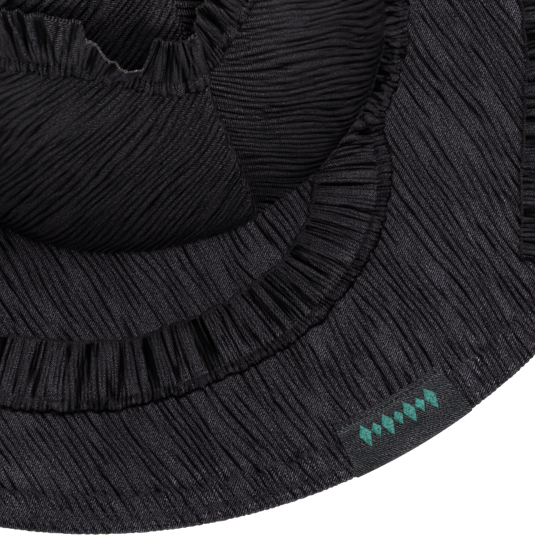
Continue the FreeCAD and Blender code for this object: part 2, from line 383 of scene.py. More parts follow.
def object_noise_material(name, dark, light, noise_scale, roughness, metallic=0.0, bump=0.2):
    """Plain stuff with a fine grain in the object's own metres: felt, thread, drawn wire."""
    material, tree, shader = node_material(name, roughness, metallic=metallic)
    place = tree.nodes.new("ShaderNodeTexCoord")
    grain = add_node(tree, "ShaderNodeTexNoise", Scale=noise_scale, Detail=4.0, Roughness=0.6)
    tree.links.new(place.outputs["Object"], grain.inputs["Vector"])
    colour = ramp(tree, grain.outputs["Fac"], 0.35, 0.65, dark, light)
    tree.links.new(colour, shader.inputs["Base Color"])
    add_bump(tree, shader, grain.outputs["Fac"], bump, 0.2 * MM)
    return material


BRIM_DARK = (0.0008, 0.0007, 0.0009)
CRINKLE_CLOTH = cloth_material("crinkle_cloth", BRIM_DARK, (0.084, 0.076, 0.091), bump=1.0, crease=0.02)
# The cone's cloth is the brim's crinkled cloth made darker: painted shade on the cone's steep sides.
CONE_DARK = (0.0007, 0.0006, 0.0008)
SHADED_CONE_CLOTH = cloth_material("cone_cloth", CONE_DARK, (0.062, 0.057, 0.065), bump=1.0, crease=0.02)
RUFFLE_CLOTH = cloth_material("ruffle_cloth", BRIM_DARK, (0.068, 0.062, 0.073), bump=1.0, crease=0.02)
EDGE_CLOTH = cloth_material(
    "edge_cloth", (0.003, 0.0025, 0.003), (0.055, 0.050, 0.054), twill_pitch=0.9, twill_turn=8, bump=1.0
)
FRAYED_CLOTH = cloth_material(
    "frayed_cloth", (0.006, 0.005, 0.006), (0.17, 0.155, 0.16), twill_pitch=0.5, twill_turn=8, bump=1.0
)
LINING_CLOTH = cloth_material(
    "lining_cloth", (0.008, 0.008, 0.009), (0.022, 0.022, 0.024),
    twill_pitch=0.35, twill_turn=20, bump=0.3, roughness=0.4, shine=0.6,
)
BAND_CLOTH = cloth_material(
    "band_cloth", (0.010, 0.010, 0.011), (0.034, 0.034, 0.036),
    twill_pitch=1.1, twill_turn=90, bump=0.9, roughness=0.6,
)
LABEL_CLOTH = cloth_material(
    "label_cloth", (0.004, 0.0042, 0.005), (0.096, 0.099, 0.108),
    twill_turn=38, bump=0.8, roughness=0.5, shine=0.3, crease=0.3,
)
FELT = object_noise_material("felt", (0.02, 0.02, 0.022), (0.05, 0.05, 0.055), 900, 0.95, bump=0.6)
TEAL_DARK, TEAL_LIGHT = (0.004, 0.045, 0.040), (0.078, 0.420, 0.360)
TEAL_THREAD = object_noise_material("teal_thread", TEAL_DARK, TEAL_LIGHT, 1500, 0.45, bump=0.3)
WIRE_STEEL = object_noise_material("wire_steel", (0.38, 0.38, 0.40), (0.55, 0.55, 0.57), 700, 0.35, 1.0)
TUBE_BRASS = object_noise_material("tube_brass", (0.50, 0.36, 0.15), (0.66, 0.50, 0.22), 500, 0.32, 1.0)


def outward(azimuth):
    """Horizontal unit vectors at azimuths from the back, in degrees."""
    a = np.radians(azimuth)
    return np.stack([np.sin(a), -np.cos(a), np.zeros_like(a)], axis=-1)


# ---- brim

PLEAT_HEIGHT = 1.1
# How far the cloth may sink below the CAD's fabric surface, which is 1.2 above the felt.
STIFFENER_DEPTH = 0.95
TOPSTITCH_RADIUS = BRIM_RADIUS - 15.5
BAND_RADIUS = TOPSTITCH_RADIUS + 2.8
BRIM_COLUMN = 0.36
BRIM_STEP = 3.5
UNDERSIDE_COLUMN = 0.75
UNDERSIDE_PLEAT = 0.75
HEM_INNER = HEM_RING_RADIUS - 5.5
# How far the brim's two cloths run in under the rolled hem.
HEM_LAP = 1.2


def brim_ridge(x, y):
    """The brim's pleats from 0 to 1, taken up finer beyond the topstitching, where the edge is gathered."""
    beyond = smooth_step(TOPSTITCH_RADIUS - 1, TOPSTITCH_RADIUS + 2, np.hypot(x, y))
    return crinkle(x, y) * (1 - beyond) + crinkle(x, y + 60, 2.3) * beyond


def brim_puff(x, y):
    """Slow swell of the brim's cloth, none at the hem or at the foot of the cone."""
    radius = np.hypot(x, y)
    return 0.9 * PUFF(x / 26, y / 34) * smooth_step(206, 190, radius) * smooth_step(95, 108, radius)


def band_roll(radius):
    """Height of the soft roll just outside the topstitching."""
    return 1.9 * bell(radius, BAND_RADIUS, 2.6)


def brim_height(x, y, ridge):
    """Height of the crinkled cloth above the brim's stiff layers, at flat x and y."""
    radius = np.hypot(x, y)
    drawn_in = 1 - 0.85 * bell(radius, TOPSTITCH_RADIUS, 1.6)
    height = (PLEAT_HEIGHT * ridge + 0.5 + brim_puff(x, y)) * drawn_in + band_roll(radius) - PLEAT_HEIGHT
    return np.maximum(height, -STIFFENER_DEPTH)


def ring_spans(outer, inner):
    """Stretches of a line at a distance x from the centre that lie in a flat ring."""

    def spans(x):
        if abs(x) >= outer - 0.01:
            return []
        far = math.sqrt(outer * outer - x * x)
        if abs(x) >= inner:
            return [(-far, far)]
        near = math.sqrt(inner * inner - x * x)
        return [(-far, -near), (near, far)]

    return spans


def brim_sheet(name, node, x, y, height, faces, shade):
    """Ring of pleated cloth on the brim, from its flat x and y and its height there. shade is its painted
    shade.
    """
    points = np.stack([x, y, height], axis=1)
    piece = mesh_piece(name, points, faces, points[:, :2], CRINKLE_CLOTH, ridge=shade)
    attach(piece, "crown")
    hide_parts(node)


def brim_cloth():
    """Pleated top of the brim, its pleats all running from back to front."""
    outer, inner = HEM_INNER + HEM_LAP, CROWN_RADIUS - 3.5
    columns = np.arange(-outer, outer, BRIM_COLUMN)
    x, y, faces = pleat_grid(ring_spans(outer, inner), columns, BRIM_STEP)
    faces = [face[::-1] for face in faces]
    ridge = brim_ridge(x, y)
    height = BRIM_TOP + brim_height(x, y, ridge)
    # Painted shade in the sunk line of the topstitching, on top of the crease shade.
    shade = ridge * (1 - 0.35 * bell(np.hypot(x, y), TOPSTITCH_RADIUS, 1.0))
    brim_sheet("brim_top_cloth", "brim_top_fabric", x, y, height, faces, shade)


def underside_cloth():
    """The same cloth under the brim, its creases pressed up into it."""
    outer, inner = HEM_INNER + HEM_LAP, OPENING_RADIUS + 0.2
    columns = np.arange(-outer, outer, UNDERSIDE_COLUMN)
    x, y, faces = pleat_grid(ring_spans(outer, inner), columns, BRIM_STEP)
    ridge = crinkle(x + 300, y)
    height = UNDERSIDE_PLEAT * (1 - ridge)
    brim_sheet("brim_underside_cloth", "brim_underside", x, y, height, faces, ridge)


def hem_profile():
    """Hem's section as radius, height, direction out of the cloth, and length along it from the inside."""
    turns = np.radians(np.linspace(100, -112, 15))
    radius = HEM_RING_RADIUS + HEM_TUBE_RADIUS * np.cos(turns)
    height = HEM_TUBE_RADIUS + HEM_TUBE_RADIUS * np.sin(turns)
    inner_radius = HEM_INNER + np.array([0, 1.6, 3.2])
    inner_top = np.stack([inner_radius, BRIM_TOP + np.array([0.05, 0.12, 0.35])], axis=1)
    inner_low = np.array([[HEM_RING_RADIUS - 3.4, 0.1], [HEM_INNER, 0.2]])
    section = np.concatenate([inner_top, np.stack([radius, height], axis=1), inner_low])
    out_turn = np.concatenate([[90, 92, 96], np.degrees(turns), [-95, -90]])
    lengths = np.concatenate([[0], np.cumsum(np.hypot(*np.diff(section, axis=0).T))])
    return section, np.radians(out_turn), lengths


def hem_roll():
    """Rolled edge of the brim, the pleats carried over it from the top."""
    section, out_turn, lengths = hem_profile()
    columns = int(2 * math.pi * BRIM_RADIUS / 0.55)
    azimuth = np.arange(columns) * 360.0 / columns
    flat = outward(azimuth)[:, None, :] * (HEM_INNER + lengths)[None, :, None]
    pleats = brim_ridge(flat[..., 0], flat[..., 1])
    over_edge = smooth_step(2.5, 6.5, lengths)[None, :]
    relief = PLEAT_HEIGHT * (pleats - 1) * (1 - 0.45 * over_edge) + 0.42
    under = smooth_step(10.5, 13.5, lengths)[None, :]
    relief = relief * (1 - under)
    radius = section[:, 0][None, :] + relief * np.cos(out_turn)[None, :]
    height = np.maximum(section[:, 1][None, :] + relief * np.sin(out_turn)[None, :], 0.02)
    points = outward(azimuth)[:, None, :] * radius[..., None]
    points[..., 2] = height
    faces = [face[::-1] for face in grid_faces(columns, len(section), closed=True)]
    piece = mesh_piece("hem_roll", points, faces, flat[..., :2], CRINKLE_CLOTH, ridge=pleats)
    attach(piece, "crown")
    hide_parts("brim_hem_binding")


brim_cloth()
underside_cloth()
hem_roll()

# ---- cone


def cone_radius(s):
    """Outside radius at a length s along the cone's centreline, as in the CAD."""
    t = s / CONE_LENGTH
    return CROWN_RADIUS * (1 - t) + TIP_RADIUS * t + CONE_PUFF * 6.75 * t * (1 - t) ** 2


def cone_frame(azimuth, s):
    """Centre and outward direction at azimuths and lengths s up the cone."""
    azimuth, s = np.broadcast_arrays(np.asarray(azimuth, float), np.asarray(s, float))
    towards = outward(np.array(BEND_AZIMUTH))
    up = np.array([0.0, 0.0, 1.0])
    sideways = np.cross(up, towards)
    lean = BEND_ANGLE * np.maximum(0, s - BEND_START) / (CONE_LENGTH - BEND_START)
    bend_radius = (CONE_LENGTH - BEND_START) / BEND_ANGLE
    upright = np.minimum(s, BEND_START)
    centre = towards * (bend_radius * (1 - np.cos(lean)))[..., None]
    centre = centre + up * (BRIM_TOP + upright + bend_radius * np.sin(lean))[..., None]
    leaning = towards * np.cos(lean)[..., None] - up * np.sin(lean)[..., None]
    flat = outward(azimuth)
    out = leaning * (flat @ towards)[..., None] + sideways * (flat @ sideways)[..., None]
    return centre, out


# The cone's cloth is one flat sector, its straight edges sewn together at the back.
SECTOR_SLANT = math.hypot(CONE_LENGTH, CROWN_RADIUS)
SECTOR_HALF_ANGLE = math.pi * CROWN_RADIUS / SECTOR_SLANT
CONE_COLUMN = 0.42
CONE_STEP = 3.3
CONE_FOOT = 3.0
CONE_PITCH = 2.6
CONE_TIP_SLANT = 1.2
CONE_TIP_ROUNDING = 8.0


def sector_spans(across):
    """Stretches of a line along the pleats, at a distance across from the sector's middle line."""
    outer = SECTOR_SLANT + CONE_FOOT
    if abs(across) >= outer * math.sin(SECTOR_HALF_ANGLE):
        return []
    low = -math.sqrt(outer * outer - across * across)
    edge = -abs(across) / math.tan(SECTOR_HALF_ANGLE)
    cut = -math.sqrt(max(0.0, CONE_TIP_SLANT**2 - across * across))
    high = min(edge, cut)
    return [(low, high)] if high - low > 0.3 else []


def cone_fullness(azimuth, s):
    """How far the cone's cloth stands off its smooth shape, without its pleats.

    It is the cloth's slack, its slouch and the step down at the back seam.
    """
    wrapped = (azimuth + 180) % 360 - 180
    girth = np.radians(wrapped) * cone_radius(s)
    low_down = smooth_step(-4, 10, s) * smooth_step(150, 70, s)
    recess = -3.4 * np.exp(-((girth / 17) ** 2)) * low_down
    puff = 1.6 * np.exp(-(((girth + 9) / 14) ** 2)) * low_down
    under_flap = smooth_step(1.4, 0, -girth)
    step = np.where(girth < 0, puff * (1 - under_flap) + recess * under_flap, recess)
    slouch = 1.4 * PUFF(wrapped / 34 + 40, s / 46 + 7)
    slouch = slouch * smooth_step(0, 25, s) * smooth_step(CONE_LENGTH, 250, s)
    slack = 2.4 * smooth_step(0, 12, s) * smooth_step(CONE_LENGTH, 300, s) + 0.7
    return slack + step + slouch


def cone_relief(azimuth, s, ridge):
    """Height of the cone's cloth off its smooth shape, ridge being its pleats from 0 to 1."""
    girth = np.radians((azimuth + 180) % 360 - 180) * cone_radius(s)
    depth = PLEAT_HEIGHT * smooth_step(CONE_LENGTH, CONE_LENGTH - 90, s) + 0.1
    stitched = 0.8 * np.exp(-((girth / 1.2) ** 2))
    return np.maximum(depth * (ridge - 1) + cone_fullness(azimuth, s) - stitched, -STIFFENER_DEPTH)


def cone_cloth():
    """The cone's pleated cloth in one piece from the brim to the point, bending where the tip flops."""
    reach = (SECTOR_SLANT + CONE_FOOT) * math.sin(SECTOR_HALF_ANGLE)
    columns = np.arange(-reach, reach, CONE_COLUMN)
    across, along, faces = pleat_grid(sector_spans, columns, CONE_STEP)
    slant = np.hypot(across, along)
    azimuth = 180 + np.degrees(np.arctan2(across, -along)) * math.pi / SECTOR_HALF_ANGLE
    s = CONE_LENGTH * (1 - slant / SECTOR_SLANT)
    centre, out = cone_frame(azimuth, s)
    ridge = crinkle(across + 500, along + 200, CONE_PITCH, 1.35)
    radius = cone_radius(np.maximum(s, 0)) + cone_relief(azimuth, s, ridge)
    past = np.clip((s - CONE_LENGTH + CONE_TIP_ROUNDING) / CONE_TIP_ROUNDING, 0, 1)
    points = centre + out * (radius * np.sqrt(1 - past**2))[:, None]
    uv = np.stack([across, along], axis=1)
    piece = mesh_piece("cone_cloth", points, faces, uv, SHADED_CONE_CLOTH, ridge=ridge)
    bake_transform(piece)
    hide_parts("cone_lower_shell", "cone_fold_sleeve", "cone_upper_shell")


def cone_lining():
    """Lining inside the cone, loose and wrinkled, in one piece across the fold."""
    columns, rows = 220, 130
    azimuth = np.linspace(0, 360, columns, endpoint=False)
    a, along = np.meshgrid(azimuth, np.linspace(1, 300, rows), indexing="ij")
    centre, out = cone_frame(a, along)
    around = outward(a) * 6
    loose = 0.7 + 1.1 * np.abs(PUFF(around[..., 0] + along / 60, around[..., 1] + along / 25))
    radius = cone_radius(along) - WALL_THICKNESS - loose * smooth_step(0, 30, along)
    points = centre + out * np.maximum(radius, 1)[..., None]
    uv = np.stack([np.radians(a) * 60, along], axis=-1)
    piece = mesh_piece("cone_lining", points, grid_faces(columns, rows, closed=True), uv, LINING_CLOTH)
    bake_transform(piece)
    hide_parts("cone_lower_lining", "cone_upper_lining")


RIB_PITCH = 1.9
RIB_HEIGHT = 0.09


def sweatband():
    """Ribbed band in the head opening, rolled over at its lower edge."""
    columns = int(2 * math.pi * OPENING_RADIUS / 0.8)
    azimuth = np.arange(columns) * 360.0 / columns
    inner, outer = OPENING_RADIUS - SWEATBAND_THICKNESS, OPENING_RADIUS
    top = SWEATBAND_HEIGHT
    section = [(outer, 0.5), (outer - 0.2, 0.1), (inner + 0.2, 0.1), (inner, 0.5)]
    section += [(inner, z) for z in np.linspace(1.5, top - 1.5, 16)]
    section += [(inner, top - 0.4), (inner + 0.2, top), (outer - 0.2, top), (outer, top - 0.5)]
    section = np.array(section)
    ribs = RIB_HEIGHT * np.cos(section[:, 1] * 2 * math.pi / RIB_PITCH)
    ribs = ribs * (section[:, 0] < inner + 0.05)
    radius = section[:, 0] + ribs
    points = outward(azimuth)[:, None, :] * radius[None, :, None]
    points[..., 2] = section[:, 1]
    uv = np.stack(np.broadcast_arrays(np.radians(azimuth)[:, None] * outer, section[None, :, 1]), axis=-1)
    faces = grid_faces(columns, len(section), closed=True)
    piece = mesh_piece("sweatband_tape", points, faces, uv, BAND_CLOTH)
    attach(piece, "crown")
    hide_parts("sweatband")


cone_cloth()
cone_lining()
sweatband()

# ---- ruffle

BRIM_RUN_START = 26.0
BRIM_RUN_MIDDLE = 205.0
BRIM_RUN_END = 391.0
BASE_RUN_END = 466.0
BASE_BAND = 9.0
# Windings between which the free edge flops out from the cone, and the shorter stretch where it is frayed.
FLOP_START = 686.0
FLOP_END = 700.5
FRAY_START = FLOP_START + 1
FRAY_END = FLOP_END - 3.5
# Just before the flop the strip is this much wider.
STANDING_EXTRA = 4.5
# Length of cloth gathered into a unit of the strip's path, by the look of the folds.
GATHER = 1.45
# The strip at the cone's foot is drawn narrower than a sheet may be, and its folds are shallow. They aren't
# measured.
FOOT_GATHER = 1.15
STRIP_THICKNESS = 0.45

# Azimuths, from the back, of the deep folds in the stretch of ruffle behind the label.
BACK_FOLDS = (
    -49.8, -45.0, -39.8, -36.2, -31.0, -27.5, -22.3, -16.5,
    -12.3, -7.2, -2.3, 4.8, 10.4, 17.9, 22.5,
)

# Lengths of ruffle on the cone below and above its fold: name, windings of the ends, degrees between folds.
CROWN_STRIPS = (
    ("cone_ruffle_first", 472, 655, 4.0),
    ("cone_ruffle_second", 655, 830, 4.3),
    ("cone_ruffle_third", 830, 970, 5.5),
)
TIP_STRIPS = (
    ("cone_ruffle_upper", 1410, 1720, 14.0),
    ("cone_ruffle_tip", 1720, 2200, 24.0),
)

HEADER_FIELD, EDGE_FIELD, FOLD_FIELD = (Field(seed) for seed in (31, 32, 33))


def brim_run_radius(winding):
    """Radius of the ruffle's outer edge on the brim, as in the CAD, running on round the cone's foot."""
    flare = 31.0 * np.exp(-(winding - BRIM_RUN_START) / 18.0)
    dive = 70.0 * np.exp((np.minimum(winding, 420) - 395.0) / 32.0)
    foot = CROWN_RADIUS + BASE_BAND + 0.8 - 5.0 * smooth_step(430, BASE_RUN_END, winding)
    run = 171.0 + flare - dive
    return np.where(winding > 380, foot + np.log1p(np.exp((run - foot) / 2.0)) * 2.0, run)


class Run:
    """Line that a strip is sewn along, with the ways across it and off the cloth, and the strip's width.

    swell_under gives the height, at flat x and y, of the cloth that the strip lies on, if it swells.
    """

    def __init__(self, winding, origin, across, normal, width, swell_under=None):
        self.winding = winding
        self.origin = origin
        self.across = across
        self.normal = normal
        self.width = width
        self.swell_under = swell_under
        steps = np.linalg.norm(np.diff(origin, axis=0), axis=1)
        self.length = np.concatenate([[0], np.cumsum(steps)])
        self.tangent = unit(np.gradient(origin, axis=0))

    def at_winding(self, windings):
        """Lengths along the run at windings that lie on it."""
        inside = windings[(windings > self.winding[0]) & (windings < self.winding[-1])]
        return np.interp(inside, self.winding, self.length)

    def at(self, values, length):
        """Values that are known at the run's points, read off at lengths along it."""
        values = np.asarray(values, float)
        if values.ndim == 1:
            return np.interp(length, self.length, values)
        return np.stack([np.interp(length, self.length, values[:, k]) for k in range(3)], axis=1)


def unit(vectors):
    return vectors / np.linalg.norm(vectors, axis=-1, keepdims=True)


def brim_run(start, end):
    """Line of the ruffle's outer edge on the brim. The strip narrows at its start and beside the cone."""
    winding = np.arange(start, end + 0.25, 0.5)
    radius = brim_run_radius(winding)
    origin = outward(winding) * radius[:, None]
    origin[:, 2] = BRIM_TOP + 0.35
    across = unit(np.cross([0.0, 0.0, 1.0], np.gradient(origin, axis=0)))
    inward = -(across * outward(winding)).sum(axis=1)
    room = (radius - CROWN_RADIUS - 0.3) / np.maximum(inward, 0.35)
    width = np.minimum(RUFFLE_WIDTH - 9.0 * np.exp(-(winding - BRIM_RUN_START) / 18.0), room)
    normal = np.tile([0.0, 0.0, 1.0], (len(winding), 1))
    return Run(winding, origin, across, normal, width, brim_puff)


# Winding and length up the cone of the ruffle's lower edge. The back seam draws it down at 720.
CONE_RUN = [
    (472, 4), (560, 46), (620, 86), (657, 104), (680, 109),
    (695, 104), (705, 94), (720, 86), (731, 96), (744, 104),
    (800, 114), (900, 136), (1017, 162), (1200, 196), (1377, 228),
    (1560, 256), (1737, 281), (1920, 303), (2097, 322), (2280, 338),
]


def cone_run_length(winding):
    """Length up the cone of the ruffle's lower edge, by smooth steps between the run's points."""
    turns, lengths = np.array(CONE_RUN, float).T
    slopes = np.diff(lengths) / np.diff(turns)
    product, total = slopes[:-1] * slopes[1:], slopes[:-1] + slopes[1:]
    same_way = product > 0
    means = np.where(same_way, 2 * product / np.where(same_way, total, 1), 0)
    tangents = np.concatenate([slopes[:1], means, slopes[-1:]])
    i = np.clip(np.searchsorted(turns, winding) - 1, 0, len(slopes) - 1)
    gap = turns[i + 1] - turns[i]
    u = (winding - turns[i]) / gap
    rise = lengths[i] * (1 + 2 * u) * (1 - u) ** 2 + lengths[i + 1] * u * u * (3 - 2 * u)
    return rise + gap * (tangents[i] * u * (1 - u) ** 2 - tangents[i + 1] * u * u * (1 - u))


def ruffle_scale(s):
    """Share of the full strip width: narrower towards the tip."""
    return 1.0 - 0.55 * np.maximum(0.0, s - 100) / 260.0


def cone_point(azimuth, s):
    """Point on the cone's cloth, its pleats left out."""
    centre, out = cone_frame(azimuth, s)
    return centre + out * (cone_radius(s) + cone_fullness(azimuth, s))[..., None]


def cone_run(start, end):
    """Line of the ruffle's lower edge up the cone. The strip leans as it climbs and flops by the seam."""
    winding = np.arange(start, end + 0.5, 1.0)
    s = cone_run_length(winding)
    origin = cone_point(winding, s)
    upward = unit(cone_point(winding, s + 12) - cone_point(winding, s))
    around = unit(cone_point(winding + 1, s) - cone_point(winding - 1, s))
    arc = np.radians(1.0) * cone_radius(s)
    climb = np.gradient(s) / arc
    from_seam = np.abs((winding + 180) % 360 - 180) * arc
    lean = np.clip(-climb, -0.7, 0.7) * np.minimum(from_seam / 34.0, 1)
    flat = unit(upward + around * lean[:, None])
    off = unit(np.cross(around, upward))
    flop = 5 + 21 * smooth_step(FLOP_START, FLOP_END - 4.5, winding)
    flop = flop * smooth_step(FLOP_START, FRAY_START, winding)
    flop = flop * smooth_step(FLOP_END, FRAY_END, winding)
    tilt = 3 + 6 * PUFF(winding * arc / 14 + 60, s / 30) * np.minimum(from_seam / 60, 1) + flop
    tilt = np.radians(tilt)[:, None]
    across = flat * np.cos(tilt) + off * np.sin(tilt)
    normal = off * np.cos(tilt) - flat * np.sin(tilt)
    opening_up = 0.35 + 0.65 * smooth_step(CONE_RUN[0][0], CONE_RUN[0][0] + 24, winding)
    before_flop = smooth_step(FLOP_START - 15, FLOP_START - 14, winding)
    standing = before_flop * smooth_step(FRAY_START, FLOP_START, winding)
    full_width = RUFFLE_WIDTH * ruffle_scale(s) * opening_up + STANDING_EXTRA * standing
    width = np.minimum(full_width, CONE_LENGTH - 2 - s)
    return Run(winding, origin + off * 0.3, across, normal, width)


def fold_windings(start, end, spacing, seed):
    """Windings of the folds between two windings, unevenly spaced."""
    random = np.random.default_rng(seed)
    folds, here = [], start + spacing * 0.4
    while here < end:
        folds.append(here)
        here += spacing * random.uniform(0.68, 1.32)
    return np.array(folds)


def brim_folds():
    """Windings of the brim's folds, those in view where the photograph shows them."""
    first = fold_windings(BRIM_RUN_START, 360 + BACK_FOLDS[0] - 4, 3.6, 5)
    seen = 360 + np.array(BACK_FOLDS)
    foot = fold_windings(386, BASE_RUN_END, 2.2, 6)
    return np.concatenate([first, seen, foot])


HEADER_ROWS = (0, 0.5, 1.4, 2.4, 3.4, 4.4, 5.2, 5.9)
PANEL_ROWS = 17


def fold_relief(folds, length, share, seed):
    """Folds' depth, 0 to 1, and how far their lips are pushed along, at lengths and shares of the width."""
    random = np.random.default_rng(seed)
    valley = np.zeros((len(length), len(share)))
    push = np.zeros_like(valley)
    for fold in folds:
        depth, half_width, closing, lean = random.uniform([0.7, 0.8, 0.0, -1.8], [1.0, 1.8, 0.6, 1.8])
        near = np.abs(length - fold) < 9
        gap = length[near, None] - fold - lean * share[None, :]
        spread = half_width * (0.35 + 0.65 * smooth_step(0, 0.75, share))
        dip = depth * smooth_step(0.02, 0.30, share) * (1 - closing * smooth_step(0.75, 1.0, share))
        valley[near] = np.maximum(valley[near], dip * np.exp(-np.abs(gap / spread) ** 2.4))
        push[near] -= np.sign(gap) * 0.55 * dip * np.exp(-(((np.abs(gap) - spread) / 1.3) ** 2))
    return valley, push


def ruffle(name, run, folds, node, gather, puff, seed):
    """Gathered strip: a lumpy raw header, puffed panels parted by deep folds, and an overlocked edge."""
    length = np.append(np.arange(0, run.length[-1] - 0.2, 0.5), run.length[-1])
    origin, across = run.at(run.origin, length), run.at(run.across, length)
    normal, tangent = run.at(run.normal, length), run.at(run.tangent, length)
    width = run.at(run.width, length)[:, None]
    rows = np.concatenate([HEADER_ROWS, np.linspace(HEADER_WIDTH, RUFFLE_WIDTH, PANEL_ROWS)])
    share = np.clip((rows - HEADER_WIDTH) / (RUFFLE_WIDTH - HEADER_WIDTH), 0, 1)
    header = (rows < HEADER_WIDTH - 0.1)[None, :]
    scale = np.clip(width / RUFFLE_WIDTH * 1.5, 0.4, 1)
    out = np.where(header, rows * scale, HEADER_WIDTH * scale + share * (width - HEADER_WIDTH * scale))
    column = length[:, None] + seed * 37.0
    lumps = HEADER_FIELD(column / 2.1, rows[None, :] / 2.2)
    puckers = np.abs(HEADER_FIELD(column / 1.1 + 50, rows[None, :] / 6))
    rope = 1.8 * np.sin(np.pi * np.clip((rows + 0.7) / 6.9, 0, 1)) ** 0.7
    rope = rope * (0.70 + 0.35 * lumps + 0.45 * puckers)
    valley, push = fold_relief(run.at_winding(folds), length, share, seed)
    gathers = np.abs(FOLD_FIELD(column / 2.3, rows[None, :] / 40))
    swell = 1.0 + 0.35 * FOLD_FIELD(column / 11, rows[None, :] / 30)
    panel = (0.5 + puff * share**0.55) * swell * (1 - 0.30 * smooth_step(0.80, 1, share))
    cloth = column * gather
    ridge = crinkle(cloth, rows[None, :] * 1.3 + 17, 2.5)
    body = panel * (1 - valley) + 0.7 * np.minimum(gathers / 0.5, 1) + 0.9 * (ridge - 1)
    rope = rope + 0.9 * bell(rows, 0, 1.6) + 0.7 * (ridge - 1)
    height = np.maximum(np.where(header, rope, body) * scale, 0.15)
    ragged = 0.75 * EDGE_FIELD(column / 1.1, 0) * bell(rows, 0, 3.0)
    ragged = ragged + 0.6 * EDGE_FIELD(column / 4.0 + 30, 0) * smooth_step(0.7, 1, share)
    points = origin[:, None, :] + across[:, None, :] * (out + ragged)[..., None]
    if run.swell_under:
        height = height + np.maximum(run.swell_under(points[..., 0], points[..., 1]), 0)
    points = points + normal[:, None, :] * height[..., None] + tangent[:, None, :] * push[..., None]
    # Painted shade: the header darkens in its puckers, and towards its raw outer edge as a painted shadow
    # where it lies on the cloth below. The panels darken between gathers and in the folds' valleys.
    rope_shade = 0.45 + np.minimum(puckers / 0.22, 1) * (0.35 + 0.20 * np.clip(0.5 + lumps, 0, 1))
    rope_shade = rope_shade * (0.5 + 0.5 * smooth_step(0.2, 1.6, rows))
    gathered_shade = 0.35 + 0.65 * np.minimum(gathers / 0.35, 1)
    shade = np.where(header, rope_shade * ridge, ridge * gathered_shade * (1 - 0.6 * valley))
    uv = np.stack(np.broadcast_arrays(cloth, rows[None, :]), axis=-1)
    count = len(rows)
    overlocked = np.arange(count - 1) == count - 2
    winding = run.at(run.winding, length[:-1])
    frayed = (winding > FRAY_START) & (winding < FRAY_END)
    edge = np.where(overlocked[None, :], 1 + frayed[:, None], 0).ravel()
    faces = grid_faces(len(length), count)
    cloths = (RUFFLE_CLOTH, EDGE_CLOTH, FRAYED_CLOTH)
    piece = mesh_piece(name, points, faces, uv, cloths, edge, shade)
    thick = piece.modifiers.new("cloth thickness", "SOLIDIFY")
    thick.thickness = STRIP_THICKNESS * MM
    thick.offset = -1
    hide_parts(node)
    return piece


def brim_ruffle(name, start, end, node, gather, seed):
    piece = ruffle(name, brim_run(start, end), brim_folds(), node, gather, 3.1, seed)
    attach(piece, "crown")


def cone_ruffle(name, start, end, spacing, seed):
    folds = fold_windings(start, end, spacing, seed)
    return ruffle(name + "_strip", cone_run(start, end), folds, name, GATHER, 2.4, seed)


brim_ruffle("brim_ruffle_far", BRIM_RUN_START, BRIM_RUN_MIDDLE, "brim_ruffle_outer", GATHER, 1)
brim_ruffle("brim_ruffle_near", BRIM_RUN_MIDDLE, BRIM_RUN_END, "brim_ruffle_inner", GATHER, 2)
brim_ruffle("foot_gathers", BRIM_RUN_END, BASE_RUN_END, "crown_base_header", FOOT_GATHER, 3)
for strip_name, strip_start, strip_end, strip_folds in CROWN_STRIPS:
    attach(cone_ruffle(strip_name, strip_start, strip_end, strip_folds, 4), "crown")
fold_ruffle = cone_ruffle("cone_ruffle_at_fold", 970, 1410, 9.0, 7)
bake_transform(fold_ruffle)
for strip_name, strip_start, strip_end, strip_folds in TIP_STRIPS:
    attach(cone_ruffle(strip_name, strip_start, strip_end, strip_folds, 8), "tip")

# ---- label

LABEL_SWEEP = LABEL_LENGTH / BRIM_RADIUS
LABEL_GAP = 0.75
LABEL_THICKNESS = 0.4
MOTIF_PITCH = 4.7
MOTIF_COUNT = 7
# Half the length along the label and half the depth across it.
MOTIF_TALL = (2.3, 5.3)
MOTIF_SHORT = (1.9, 3.2)
MOTIF_HEIGHT = 0.45
THREAD = 0.42


def label_height(x, y):
    """Height of the label's top face where it lies on the brim, rising to the top of the hem."""
    radius = np.hypot(x, y)
    flat = BRIM_TOP + LABEL_GAP + np.maximum(brim_puff(x, y), -0.2) + 0.12 * FOLD_FIELD(x / 5, y / 9)
    flat = flat + 1.7 * bell(radius, BAND_RADIUS, 5.0)
    hemmed = smooth_step(HEM_RING_RADIUS - 6, HEM_RING_RADIUS - 1, radius)
    return flat * (1 - hemmed) + (2 * HEM_TUBE_RADIUS + LABEL_GAP) * hemmed


